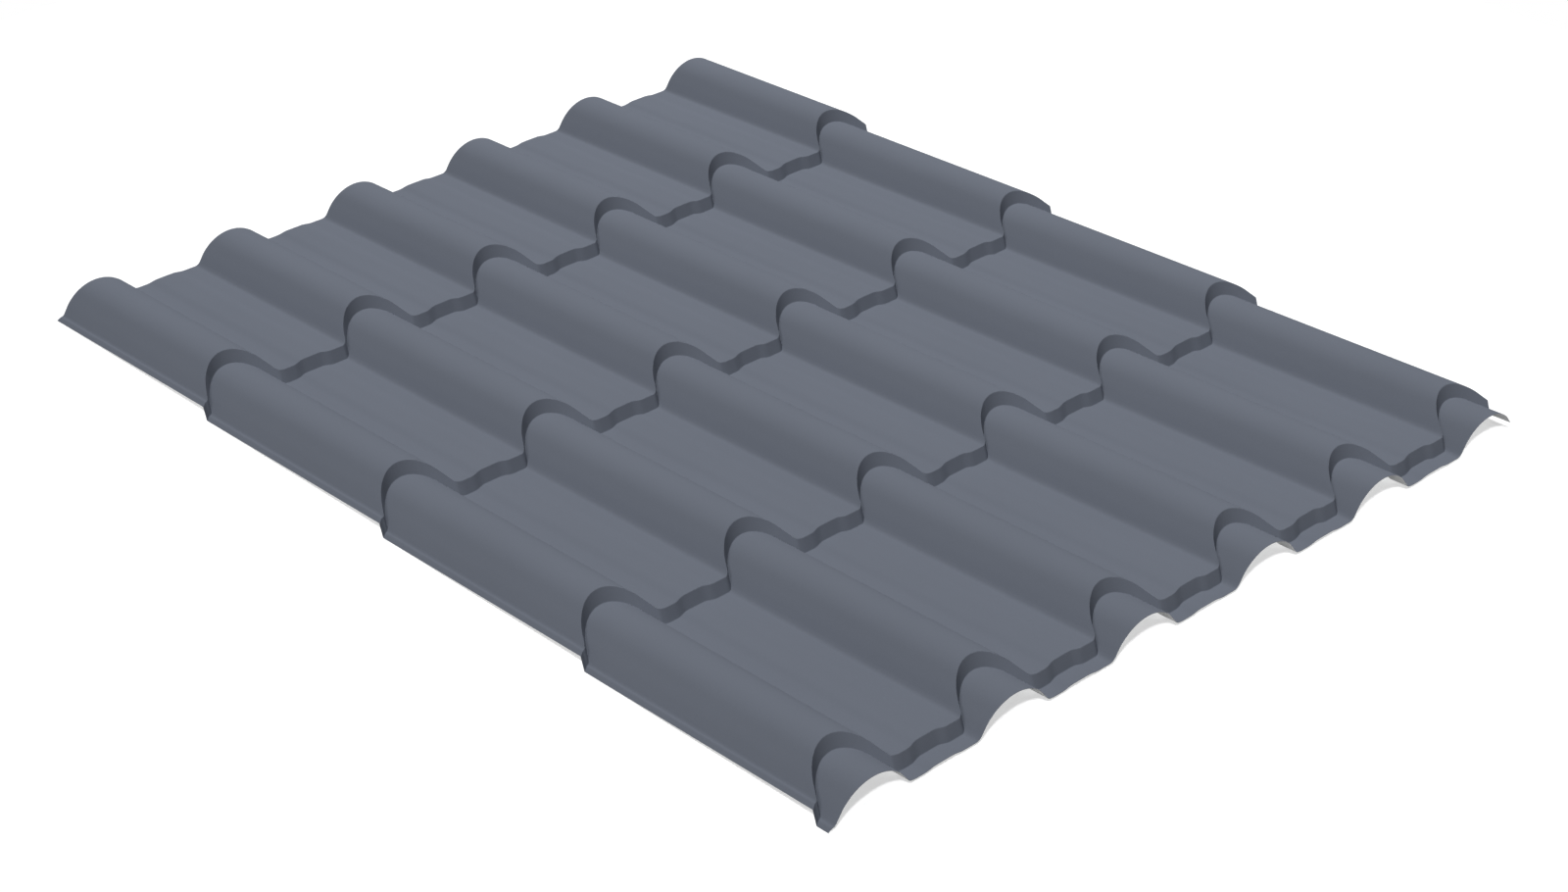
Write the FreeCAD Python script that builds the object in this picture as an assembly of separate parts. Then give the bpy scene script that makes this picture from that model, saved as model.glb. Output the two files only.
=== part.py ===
import FreeCAD, Part

import math
import os

# A roof tile sheet: one coil of coated steel, rolled into round waves and flat pans,
# then stamped into steps that imitate rows of tiles.
# Millimetres. +X runs across the waves, +Y up the roof, +Z away from the roof.

STEEL_THICKNESS = 0.5

# Across the sheet
WAVE_PITCH = 200.0
WAVE_COUNT = 6
FLANGE_WIDTH = 9.5
FLANGE_DROP = 3.5
FLANGE_BEND = (-4.1, -0.7, 6.0)
FLANGE_ROOT_RADIUS = 5.0
LAST_EDGE_HEIGHT = 7.4

# One wave: corners of the rounded outline as (x, height, radius), from its foot
FOOT_RADIUS = 9.8
LEFT_SHOULDER = (9.6, 14.6, 43.0)
CROWN = (47.0, 50.3, 53.0)
RIGHT_SHOULDER = (87.5, 19.0, 27.5)
VALLEY = (101.3, 1.3, 7.8)
VALLEY_TOE = (109.4, 0.0, 30.0)

# The shallow stiffening rib fills each pan but for these gaps at its two sides
RIB_TO_TOE = 15.8
RIB_TO_FOOT = 25.0
RIB_SLOPE_RUN = 10.5
RIB_HEIGHT = 2.1
RIB_RADIUS = 40.0

# Down the sheet, from the ridge end to the eave end
FIRST_COURSE = 327.0
MODULE = 350.0
STEP_COUNT = 4
EAVE_LIP = 19.8

# A step: how far it runs and drops, and how far its fold leans up the roof for each
# millimetre of height, which draws the step back over the waves in a tongue shape
STEP_RUN = 5.5
STEP_DROP = 16.8
FOLD_LEAN = 1.27

# Reach of the cutting tools beyond the sheet
TOOL_MARGIN = 60.0

SHEET_LENGTH = FIRST_COURSE + (STEP_COUNT - 1) * MODULE + STEP_RUN + EAVE_LIP
COURSE_RUN = MODULE - STEP_RUN
COURSE_TILT = math.atan2(STEP_DROP, COURSE_RUN)
DOWN_COURSE = FreeCAD.Vector(0, -math.cos(COURSE_TILT), math.sin(COURSE_TILT))
COURSE_NORMAL = FreeCAD.Vector(0, math.sin(COURSE_TILT), math.cos(COURSE_TILT))
STEP_VECTOR = FreeCAD.Vector(0, -STEP_RUN, -STEP_DROP)
STEP_NORMAL = FreeCAD.Vector(0, -STEP_DROP, STEP_RUN).normalize()


def wave_corners(foot_x, foot_radius):
    """Corners of one wave from its foot up to, but without, its valley."""
    corners = [(foot_x, 0.0, foot_radius)]
    for x, height, radius in (LEFT_SHOULDER, CROWN, RIGHT_SHOULDER):
        corners.append((foot_x + x, height, radius))
    return corners


def pan_corners(foot_x):
    """Corners of the pan that follows the wave at foot_x: its valley and its rib."""
    corners = [(foot_x + x, height, radius) for x, height, radius in (VALLEY, VALLEY_TOE)]
    rib_start = foot_x + VALLEY_TOE[0] + RIB_TO_TOE
    rib_end = foot_x + WAVE_PITCH - RIB_TO_FOOT
    corners.append((rib_start, 0.0, RIB_RADIUS))
    corners.append((rib_start + RIB_SLOPE_RUN, RIB_HEIGHT, RIB_RADIUS))
    corners.append((rib_end - RIB_SLOPE_RUN, RIB_HEIGHT, RIB_RADIUS))
    corners.append((rib_end, 0.0, RIB_RADIUS))
    return corners


def section_corners():
    """Corners (x, height, radius) of the upper face, from the flange to the last edge."""
    corners = [(-FLANGE_WIDTH, -FLANGE_DROP, 0.0), FLANGE_BEND]
    for wave in range(WAVE_COUNT):
        foot_x = wave * WAVE_PITCH
        corners += wave_corners(foot_x, FOOT_RADIUS if wave else FLANGE_ROOT_RADIUS)
        if wave < WAVE_COUNT - 1:
            corners += pan_corners(foot_x)
    shoulder_x, shoulder_height, _ = RIGHT_SHOULDER
    valley_x, valley_height, _ = VALLEY
    share = (shoulder_height - LAST_EDGE_HEIGHT) / (shoulder_height - valley_height)
    last_x = shoulder_x + (valley_x - shoulder_x) * share
    corners.append((foot_x + last_x, LAST_EDGE_HEIGHT, 0.0))
    return corners


def unit(dx, dz):
    length = math.hypot(dx, dz)
    return dx / length, dz / length


def offset_corners(corners, thickness):
    """The same corners on the lower face: each straight run moves down by thickness."""
    runs = []
    for (ax, az, _), (bx, bz, _) in zip(corners, corners[1:]):
        runs.append(unit(bx - ax, bz - az))
    lower = []
    for index, (x, z, radius) in enumerate(corners):
        before = runs[max(index - 1, 0)]
        after = runs[min(index, len(runs) - 1)]
        turn = before[0] * after[1] - before[1] * after[0]
        mean_x, mean_z = unit(before[0] + after[0], before[1] + after[1])
        spread = thickness / (mean_x * after[0] + mean_z * after[1])
        new_radius = 0.0
        if radius:
            new_radius = radius + math.copysign(thickness, turn)
        lower.append((x + mean_z * spread, z - mean_x * spread, new_radius))
    return lower


def in_section(x, height):
    """A point of the section, which stands square to the run of a course."""
    return FreeCAD.Vector(x, 0, 0) + COURSE_NORMAL * height


def rounded_edges(corners):
    """Lines and tangent arcs through corners, each rounded with its own radius."""
    edges = []
    start = corners[0][:2]
    for before, corner, after in zip(corners, corners[1:], corners[2:]):
        x, z, radius = corner
        back = unit(before[0] - x, before[1] - z)
        ahead = unit(after[0] - x, after[1] - z)
        half_angle = math.acos(back[0] * ahead[0] + back[1] * ahead[1]) / 2
        tangent = radius / math.tan(half_angle)
        middle = unit(back[0] + ahead[0], back[1] + ahead[1])
        reach = radius / math.sin(half_angle) - radius
        arc_start = (x + back[0] * tangent, z + back[1] * tangent)
        arc_middle = (x + middle[0] * reach, z + middle[1] * reach)
        arc_end = (x + ahead[0] * tangent, z + ahead[1] * tangent)
        edges.append(Part.makeLine(in_section(*start), in_section(*arc_start)))
        arc = Part.Arc(in_section(*arc_start), in_section(*arc_middle), in_section(*arc_end))
        edges.append(arc.toShape())
        start = arc_end
    edges.append(Part.makeLine(in_section(*start), in_section(*corners[-1][:2])))
    return edges


def fold_line(y, z):
    """Ends of the leaning fold plane through pan level (y, z), seen from the side."""
    lean = FreeCAD.Vector(0, FOLD_LEAN * TOOL_MARGIN, TOOL_MARGIN)
    level = FreeCAD.Vector(0, y, z)
    return level - lean, level + lean


def cut_line(y):
    """Ends of a square cut through the whole sheet, seen from the side."""
    return FreeCAD.Vector(0, y, -TOOL_MARGIN), FreeCAD.Vector(0, y, TOOL_MARGIN)


def courses(fold_shift):
    """For each course, the start of its section and the lines that it runs between."""
    upper_end = cut_line(0.0)
    for course in range(STEP_COUNT + 1):
        fold_y = -FIRST_COURSE - course * MODULE
        start = FreeCAD.Vector(0, fold_y + COURSE_RUN, 0)
        if course == STEP_COUNT:
            lower_end = cut_line(-SHEET_LENGTH)
        else:
            lower_end = fold_line(fold_y + fold_shift, STEP_DROP)
        yield start, upper_end, lower_end
        upper_end = (lower_end[0] + STEP_VECTOR, lower_end[1] + STEP_VECTOR)


def slab(first, second):
    """The solid between two side-view lines, wider than the sheet."""
    left = FreeCAD.Vector(-FLANGE_WIDTH - TOOL_MARGIN, 0, 0)
    width = FreeCAD.Vector(WAVE_COUNT * WAVE_PITCH + FLANGE_WIDTH + 2 * TOOL_MARGIN, 0, 0)
    corners = [first[0], second[0], second[1], first[1], first[0]]
    outline = Part.makePolygon([corner + left for corner in corners])
    return Part.Face(outline).extrude(width)


def line_normal(line):
    """Normal of the plane that shows as a line from the side."""
    return FreeCAD.Vector(1, 0, 0).cross(line[1] - line[0]).normalize()


def lies_on(edge, line):
    """Whether an edge lies in the plane that shows as a line from the side."""
    normal = line_normal(line)
    return all(abs((vertex.Point - line[0]).dot(normal)) < 1e-5 for vertex in edge.Vertexes)


def skin(corners, fold_shift):
    """All faces of one side of the sheet, and its edges at the ridge and eave cuts."""
    profile = Part.Wire(rounded_edges(corners))
    overrun = DOWN_COURSE * 2 * TOOL_MARGIN
    faces = []
    cut_edges = []
    for course, (start, upper_end, lower_end) in enumerate(courses(fold_shift)):
        drawn = profile.copy()
        drawn.translate(start - overrun)
        straight = drawn.extrude(DOWN_COURSE * MODULE + overrun * 2)
        straight = straight.common(slab(upper_end, lower_end))
        faces += straight.Faces
        last_edges = [edge for edge in straight.Edges if lies_on(edge, lower_end)]
        if course == 0:
            cut_edges.append([edge for edge in straight.Edges if lies_on(edge, upper_end)])
        if course < STEP_COUNT:
            faces += [edge.extrude(STEP_VECTOR) for edge in last_edges]
    cut_edges.append(last_edges)
    return faces, cut_edges


def run_down(corner, fold_shift):
    """The points where a line of the section meets each cut and fold, ridge to eave."""
    points = []
    for start, upper_end, lower_end in courses(fold_shift):
        on_course = start + in_section(*corner[:2])
        for line in (upper_end, lower_end):
            normal = line_normal(line)
            travel = (line[0] - on_course).dot(normal) / DOWN_COURSE.dot(normal)
            points.append(on_course + DOWN_COURSE * travel)
    return points


def edge_strips(upper_corner, lower_corner, fold_shift):
    """The narrow cut edge along one side of the sheet, a flat strip for each run."""
    upper = run_down(upper_corner, 0.0)
    lower = run_down(lower_corner, fold_shift)
    strips = []
    for index in range(len(upper) - 1):
        ring = [upper[index], upper[index + 1], lower[index + 1], lower[index], upper[index]]
        strips.append(Part.Face(Part.makePolygon(ring)))
    return strips


def fold_setback():
    """How far up the roof the lower face folds, to keep the step one thickness thick."""
    normals = COURSE_NORMAL + STEP_NORMAL
    mitre = normals * (-STEEL_THICKNESS / (1 + COURSE_NORMAL.dot(STEP_NORMAL)))
    return mitre.y - FOLD_LEAN * mitre.z


def tile_sheet():
    """The whole pressed sheet: two skins one thickness apart, closed along their edges."""
    upper = section_corners()
    lower = offset_corners(upper, STEEL_THICKNESS)
    setback = fold_setback()
    faces, upper_cuts = skin(upper, 0.0)
    lower_faces, lower_cuts = skin(lower, setback)
    faces += lower_faces
    strips = [edge_strips(upper[side], lower[side], setback) for side in (0, -1)]
    faces += strips[0] + strips[1]
    for end in (0, -1):
        closing = [strip[end].Edges[3 if end == 0 else 1] for strip in strips]
        ring = Part.__sortEdges__(upper_cuts[end] + lower_cuts[end] + closing)
        faces.append(Part.Face(Part.Wire(ring)))
    shell = Part.makeShell(faces)
    shell.sewShape()
    sheet = Part.Solid(shell.Shells[0])
    box = sheet.BoundBox
    sheet.translate(FreeCAD.Vector(-box.Center.x, SHEET_LENGTH / 2, -box.ZMin))
    return sheet


def main():
    os.makedirs("parts", exist_ok=True)
    tile_sheet().exportStep("parts/tile_sheet.step")


main()
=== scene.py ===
import math

import bpy
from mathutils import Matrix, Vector


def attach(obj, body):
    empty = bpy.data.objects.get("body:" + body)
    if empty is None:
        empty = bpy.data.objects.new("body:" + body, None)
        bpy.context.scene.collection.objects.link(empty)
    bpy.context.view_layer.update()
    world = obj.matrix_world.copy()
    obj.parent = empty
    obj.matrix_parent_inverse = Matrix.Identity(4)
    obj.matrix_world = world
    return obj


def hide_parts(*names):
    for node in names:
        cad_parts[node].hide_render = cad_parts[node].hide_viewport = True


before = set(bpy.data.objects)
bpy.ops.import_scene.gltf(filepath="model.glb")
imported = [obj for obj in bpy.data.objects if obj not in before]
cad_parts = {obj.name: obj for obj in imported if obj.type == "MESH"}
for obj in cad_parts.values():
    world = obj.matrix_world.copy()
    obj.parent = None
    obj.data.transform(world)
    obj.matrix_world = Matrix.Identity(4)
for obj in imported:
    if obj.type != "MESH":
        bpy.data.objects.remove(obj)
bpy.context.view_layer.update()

# Metres. +X runs across the waves, +Y up the roof, +Z away from the roof.
# Corners of the rounded outline are (x, height, radius).

STEEL_THICKNESS = 0.0005

# Across the sheet
WAVE_PITCH = 0.2
WAVE_COUNT = 6
FLANGE_WIDTH = 0.0095
FLANGE_DROP = 0.0035
FLANGE_BEND = (-0.0041, -0.0007, 0.006)
FLANGE_ROOT_RADIUS = 0.005

# One wave, with x from its foot
FOOT_RADIUS = 0.0098
LEFT_SHOULDER = (0.0096, 0.0146, 0.043)
CROWN = (0.047, 0.0503, 0.053)
RIGHT_SHOULDER = (0.0875, 0.019, 0.0275)
VALLEY = (0.1013, 0.0013, 0.0078)
VALLEY_TOE = (0.1094, 0.0, 0.03)

# The last wave is cut off on its right side, at this height
LAST_EDGE_HEIGHT = 0.0074

# The shallow stiffening rib fills each pan but for these gaps at its two sides
RIB_TO_TOE = 0.0158
RIB_TO_FOOT = 0.025
RIB_SLOPE_RUN = 0.0105
RIB_HEIGHT = 0.0021
RIB_RADIUS = 0.04

# Down the sheet, from the ridge end to the eave end
FIRST_COURSE = 0.327
MODULE = 0.35
STEP_COUNT = 4
EAVE_LIP = 0.0198
STEP_RUN = 0.0055
STEP_DROP = 0.0168
FOLD_LEAN = 1.27
FOLD_RADIUS = 0.001
SHEET_LENGTH = FIRST_COURSE + (STEP_COUNT - 1) * MODULE + STEP_RUN + EAVE_LIP
COURSE_RUN = MODULE - STEP_RUN
COURSE_TILT = math.atan2(STEP_DROP, COURSE_RUN)

# Height of the top of a pan where a course starts
PAN_LEVEL = 0.0037649

# How finely the curves are divided
SECTION_ARC_STEP = math.radians(4.5)
SECTION_ARC_LEAST_PARTS = 2
FOLD_ARC_PARTS = 4
COURSE_PARTS = 8

# Directions seen from the side, as (y, z)
DOWN_COURSE = Vector((-math.cos(COURSE_TILT), math.sin(COURSE_TILT)))
COURSE_NORMAL = Vector((math.sin(COURSE_TILT), math.cos(COURSE_TILT)))
FOLD_NORMAL = Vector((1.0, -FOLD_LEAN))
CUT_NORMAL = Vector((1.0, 0.0))

# Finishes: the first one covers the upper face, and these slots the back and the cut edge
BACK_SLOT = 1
EDGE_SLOT = 2
WHITE = (1.0, 1.0, 1.0)
GRAPHITE = (0.147, 0.163, 0.198)
LACQUER_GREY = (0.68, 0.69, 0.7)
STEEL_GREY = (0.2, 0.21, 0.23)
GRAIN_DEPTH = 0.0001

# Nearly all values of a noise texture lie between these two
NOISE_LOW = 0.3
NOISE_HIGH = 0.7

# A colour Mix node has several sockets named A, B and Result, so they are picked by number
MIX_COLOR_A = 6
MIX_COLOR_B = 7
MIX_COLOR_RESULT = 2

# The floor ends FLOOR_REACH from the middle. Beyond it the white world takes over.
FLOOR_REACH = 1.6
FLOOR_GAP = 0.0002
FLOOR_WHITE_SEEN = 0.85
FLOOR_WHITE_IN_LIGHT = 0.3
FLOOR_GLOW_SEEN = 0.25

WORLD_FILL = 0.02
CARD_RADIUS = 1.0


def section_corners():
    """Corners of the upper face, from the flange to the last edge."""
    corners = [(-FLANGE_WIDTH, -FLANGE_DROP, 0.0), FLANGE_BEND]
    for wave in range(WAVE_COUNT):
        foot_x = wave * WAVE_PITCH
        corners.append((foot_x, 0.0, FOOT_RADIUS if wave else FLANGE_ROOT_RADIUS))
        for x, height, radius in (LEFT_SHOULDER, CROWN, RIGHT_SHOULDER):
            corners.append((foot_x + x, height, radius))
        if wave < WAVE_COUNT - 1:
            for x, height, radius in (VALLEY, VALLEY_TOE):
                corners.append((foot_x + x, height, radius))
            rib_start = foot_x + VALLEY_TOE[0] + RIB_TO_TOE
            rib_end = foot_x + WAVE_PITCH - RIB_TO_FOOT
            corners.append((rib_start, 0.0, RIB_RADIUS))
            corners.append((rib_start + RIB_SLOPE_RUN, RIB_HEIGHT, RIB_RADIUS))
            corners.append((rib_end - RIB_SLOPE_RUN, RIB_HEIGHT, RIB_RADIUS))
            corners.append((rib_end, 0.0, RIB_RADIUS))
    shoulder_x, shoulder_height, _ = RIGHT_SHOULDER
    valley_x, valley_height, _ = VALLEY
    share = (shoulder_height - LAST_EDGE_HEIGHT) / (shoulder_height - valley_height)
    last_x = shoulder_x + (valley_x - shoulder_x) * share
    corners.append((foot_x + last_x, LAST_EDGE_HEIGHT, 0.0))
    return corners


def rounded_corner(before, corner, after, radius, parts):
    """Points round one corner of an outline, from the start to the end of its arc."""
    back = (before - corner).normalized()
    ahead = (after - corner).normalized()
    half_angle = back.angle(ahead) / 2
    centre = corner + (back + ahead).normalized() * (radius / math.sin(half_angle))
    first = corner + back * (radius / math.tan(half_angle)) - centre
    last = corner + ahead * (radius / math.tan(half_angle)) - centre
    turn = first.angle(last)
    points = []
    for part in range(parts + 1):
        swept = turn * part / parts
        blend = (first * math.sin(turn - swept) + last * math.sin(swept)) / math.sin(turn)
        points.append(centre + blend)
    return points


def section_points():
    """The rounded section as points (x, height)."""
    corners = section_corners()
    flat = [Vector(corner[:2]) for corner in corners]
    points = [flat[0]]
    for index in range(1, len(corners) - 1):
        before, corner, after = flat[index - 1 : index + 2]
        turn = math.pi - (before - corner).angle(after - corner)
        parts = max(SECTION_ARC_LEAST_PARTS, round(turn / SECTION_ARC_STEP))
        points += rounded_corner(before, corner, after, corners[index][2], parts)
    points.append(flat[-1])
    return points


def side_view_corners(height):
    """Where a line of the section at this height meets each cut and fold, as (y, z)."""
    corners = []
    upper = (Vector((0.0, 0.0)), CUT_NORMAL)
    for course in range(STEP_COUNT + 1):
        fold_y = -FIRST_COURSE - course * MODULE
        start = Vector((fold_y + COURSE_RUN, 0.0)) + COURSE_NORMAL * height
        lower = (Vector((fold_y, STEP_DROP)), FOLD_NORMAL)
        if course == STEP_COUNT:
            lower = (Vector((-SHEET_LENGTH, 0.0)), CUT_NORMAL)
        for point, normal in (upper, lower):
            travel = (point - start).dot(normal) / DOWN_COURSE.dot(normal)
            corners.append(start + DOWN_COURSE * travel)
        upper = (Vector((fold_y - STEP_RUN, 0.0)), FOLD_NORMAL)
    return corners


def side_view_points(height):
    """The folded line as points (y, z), from the ridge cut to the eave cut."""
    corners = side_view_corners(height)
    points = [corners[0]]
    for index in range(1, len(corners) - 1):
        before, corner, after = corners[index - 1 : index + 2]
        arc = rounded_corner(before, corner, after, FOLD_RADIUS, FOLD_ARC_PARTS)
        ends_a_course = index % 2
        if ends_a_course:
            start = points[-1]
            for part in range(1, COURSE_PARTS):
                points.append(start.lerp(arc[0], part / COURSE_PARTS))
        points += arc
    points.append(corners[-1])
    return points


def pressed_sheet():
    """The upper face as one grid of faces, centred on the origin."""
    section = section_points()
    middle_x = (section[0].x + section[-1].x) / 2
    columns = [side_view_points(point.y) for point in section]
    rows = len(columns[0])
    vertices = []
    for point, column in zip(section, columns):
        for y, z in column:
            vertices.append((point.x - middle_x, y + SHEET_LENGTH / 2, z + PAN_LEVEL))
    faces = []
    for across in range(len(section) - 1):
        for down in range(rows - 1):
            corner = across * rows + down
            faces.append((corner, corner + 1, corner + rows + 1, corner + rows))
    mesh = bpy.data.meshes.new("pressed_sheet")
    mesh.from_pydata(vertices, [], faces)
    mesh.shade_smooth()
    sheet = bpy.data.objects.new("pressed_sheet", mesh)
    bpy.context.scene.collection.objects.link(sheet)
    return sheet


def thicken(sheet):
    """Gives the sheet its steel thickness, its back and its cut edge, and clean shading."""
    solid = sheet.modifiers.new("steel", "SOLIDIFY")
    solid.thickness = STEEL_THICKNESS
    solid.offset = -1.0
    solid.use_even_offset = True
    solid.use_rim = True
    solid.material_offset = BACK_SLOT
    solid.material_offset_rim = EDGE_SLOT
    shading = sheet.modifiers.new("shading", "WEIGHTED_NORMAL")
    shading.keep_sharp = True


class Nodes:
    """Adds nodes to a material or world and links them."""

    def __init__(self, owner):
        owner.use_nodes = True
        self.tree = owner.node_tree
        self.tree.nodes.clear()

    def add(self, kind, inputs=None, **settings):
        """A node whose inputs are plain values or the outputs of other nodes."""
        node = self.tree.nodes.new(kind)
        for name, value in settings.items():
            setattr(node, name, value)
        for socket, value in (inputs or {}).items():
            if isinstance(value, bpy.types.NodeSocket):
                self.tree.links.new(value, node.inputs[socket])
            else:
                node.inputs[socket].default_value = value
        return node

    def noise(self, position, scale, detail=2.0, stretch=(1.0, 1.0, 1.0)):
        placed = self.add("ShaderNodeMapping", {"Vector": position, "Scale": stretch})
        inputs = {"Vector": placed.outputs[0], "Scale": scale, "Detail": detail}
        return self.add("ShaderNodeTexNoise", inputs).outputs["Fac"]

    def ranged(self, noise, low, high):
        inputs = {"Value": noise, "From Min": NOISE_LOW, "From Max": NOISE_HIGH}
        inputs.update({"To Min": low, "To Max": high})
        return self.add("ShaderNodeMapRange", inputs).outputs[0]

    def blend(self, factor, first, second, how="MIX"):
        inputs = {"Factor": factor, MIX_COLOR_A: first, MIX_COLOR_B: second}
        mix = self.add("ShaderNodeMix", inputs, data_type="RGBA", blend_type=how)
        return mix.outputs[MIX_COLOR_RESULT]

    def relief(self, height, strength):
        inputs = {"Height": height, "Strength": strength, "Distance": GRAIN_DEPTH}
        return self.add("ShaderNodeBump", inputs).outputs[0]

    def calculate(self, operation, first, second):
        return self.add("ShaderNodeMath", {0: first, 1: second}, operation=operation).outputs[0]

    def surface(self, inputs):
        shader = self.add("ShaderNodeBsdfPrincipled", inputs)
        self.add("ShaderNodeOutputMaterial", {"Surface": shader.outputs[0]})


def shade(color, amount):
    """The colour made darker or lighter, with an alpha of 1."""
    return tuple(channel * amount for channel in color) + (1.0,)


def new_finish(name):
    """A material, its empty node tree and the position on the object for its noises."""
    material = bpy.data.materials.new(name)
    nodes = Nodes(material)
    return material, nodes, nodes.add("ShaderNodeTexCoord").outputs["Object"]


def top_coat():
    """Matte graphite coating: fine grain, faint cloudiness and no gloss."""
    material, nodes, position = new_finish("graphite_coating")
    cloud = nodes.noise(position, scale=9.0, detail=3.0, stretch=(1.0, 0.35, 1.0))
    grain = nodes.noise(position, scale=1400.0)
    patches = nodes.noise(position, scale=45.0, detail=3.0)
    clouded = nodes.blend(cloud, shade(GRAPHITE, 0.96), shade(GRAPHITE, 1.04))
    speckled = nodes.blend(grain, shade(WHITE, 0.9), shade(WHITE, 1.1))
    inputs = {
        "Base Color": nodes.blend(1.0, clouded, speckled, how="MULTIPLY"),
        "Roughness": nodes.ranged(patches, low=0.58, high=0.66),
        "Specular IOR Level": 0.0,
        "Normal": nodes.relief(grain, strength=0.35),
    }
    nodes.surface(inputs)
    return material


def back_coat():
    """Thin pale grey backing lacquer with streaks along the run of the coil."""
    material, nodes, position = new_finish("backing_lacquer")
    streaks = nodes.noise(position, scale=120.0, detail=3.0, stretch=(1.0, 0.04, 1.0))
    grain = nodes.noise(position, scale=900.0)
    inputs = {
        "Base Color": nodes.blend(streaks, shade(LACQUER_GREY, 0.93), shade(LACQUER_GREY, 1.05)),
        "Roughness": nodes.ranged(grain, low=0.42, high=0.55),
        "Normal": nodes.relief(grain, strength=0.3),
    }
    nodes.surface(inputs)
    return material


def cut_edge():
    """Sheared steel and zinc, lined by the shear blade."""
    material, nodes, position = new_finish("sheared_steel")
    lines = nodes.noise(position, scale=1800.0, detail=3.0, stretch=(1.0, 1.0, 0.1))
    inputs = {
        "Base Color": nodes.blend(lines, shade(STEEL_GREY, 0.85), shade(STEEL_GREY, 1.1)),
        "Metallic": 1.0,
        "Roughness": nodes.ranged(lines, low=0.35, high=0.55),
        "Normal": nodes.relief(lines, strength=0.4),
    }
    nodes.surface(inputs)
    return material


def seen_directly(nodes):
    """1 for rays from the camera and for rays in gloss and glass, else 0."""
    path = nodes.add("ShaderNodeLightPath")
    seen = path.outputs["Is Camera Ray"]
    for name in ("Is Glossy Ray", "Is Transmission Ray"):
        seen = nodes.calculate("MAXIMUM", seen, path.outputs[name])
    return seen


def white_floor():
    """A white floor, just below the sheet, that keeps its soft contact shadow."""
    near, far = -FLOOR_REACH, FLOOR_REACH
    corners = [(near, near, 0), (far, near, 0), (far, far, 0), (near, far, 0)]
    mesh = bpy.data.meshes.new("floor")
    mesh.from_pydata(corners, [], [(0, 1, 2, 3)])
    floor = bpy.data.objects.new("floor", mesh)
    floor.location.z = -FLOOR_GAP
    bpy.context.scene.collection.objects.link(floor)
    material = bpy.data.materials.new("white_floor")
    nodes = Nodes(material)
    seen = seen_directly(nodes)
    color = nodes.blend(seen, shade(WHITE, FLOOR_WHITE_IN_LIGHT), shade(WHITE, FLOOR_WHITE_SEEN))
    matte = nodes.add("ShaderNodeBsdfDiffuse", {"Color": color})
    strength = nodes.calculate("MULTIPLY", seen, FLOOR_GLOW_SEEN)
    glow = nodes.add("ShaderNodeEmission", {"Strength": strength})
    both = nodes.add("ShaderNodeAddShader", {0: matte.outputs[0], 1: glow.outputs[0]})
    nodes.add("ShaderNodeOutputMaterial", {"Surface": both.outputs[0]})
    mesh.materials.append(material)
    return floor


def light_world():
    """A white dome: strength 1 where it is seen, and a faint even fill elsewhere."""
    world = bpy.data.worlds.new("studio")
    bpy.context.scene.world = world
    nodes = Nodes(world)
    white = shade(WHITE, 1.0)
    fill = nodes.add("ShaderNodeBackground", {"Color": white, "Strength": WORLD_FILL})
    dome = nodes.add("ShaderNodeBackground", {"Color": white, "Strength": 1.0})
    inputs = {"Fac": seen_directly(nodes), 1: fill.outputs[0], 2: dome.outputs[0]}
    mix = nodes.add("ShaderNodeMixShader", inputs)
    nodes.add("ShaderNodeOutputWorld", {"Surface": mix.outputs[0]})


def toward(azimuth, elevation):
    """Unit direction to a lamp. azimuth is in degrees from +Y towards +X."""
    side, up = math.radians(azimuth), math.radians(elevation)
    return Vector((math.sin(side) * math.cos(up), math.cos(side) * math.cos(up), math.sin(up)))


def sun(name, azimuth, elevation, level, spread):
    """A distant soft lamp. level is what it gives a white surface that faces it squarely."""
    data = bpy.data.lights.new(name, "SUN")
    data.energy = level * math.pi
    data.angle = math.radians(spread)
    lamp = bpy.data.objects.new(name, data)
    lamp.rotation_euler = toward(azimuth, elevation).to_track_quat("Z", "Y").to_euler()
    bpy.context.scene.collection.objects.link(lamp)


def bounce_card(name, azimuth, elevation, level, distance):
    """Even light from one side, with no shadow of its own. level is as for a sun."""
    data = bpy.data.lights.new(name, "POINT")
    data.energy = level * (2 * math.pi * distance) ** 2
    data.shadow_soft_size = CARD_RADIUS
    data.use_shadow = False
    lamp = bpy.data.objects.new(name, data)
    lamp.location = toward(azimuth, elevation) * distance
    lamp.visible_glossy = False
    bpy.context.scene.collection.objects.link(lamp)


def photo_camera():
    """The photograph's viewpoint and lens."""
    data = bpy.data.cameras.new("camera")
    data.lens = 68.5
    data.sensor_width = 36.0
    camera = bpy.data.objects.new("camera", data)
    camera.location = (-2.1202, -2.3307, 1.7988)
    camera.rotation_euler = [math.radians(angle) for angle in (58.901, 0.109, -42.897)]
    bpy.context.scene.collection.objects.link(camera)
    bpy.context.scene.camera = camera


photo_camera()
sheet = pressed_sheet()
thicken(sheet)
for finish in (top_coat(), back_coat(), cut_edge()):
    sheet.data.materials.append(finish)
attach(sheet, "root")
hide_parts("tile_sheet")
white_floor()
light_world()
sun("key", azimuth=230.1, elevation=50.9, level=0.623, spread=4.3)
sun("left_fill", azimuth=266.6, elevation=54.1, level=0.212, spread=15.0)
bounce_card("back_card", azimuth=52.0, elevation=26.4, level=0.818, distance=10.2)
bpy.context.scene.view_settings.view_transform = "Standard"
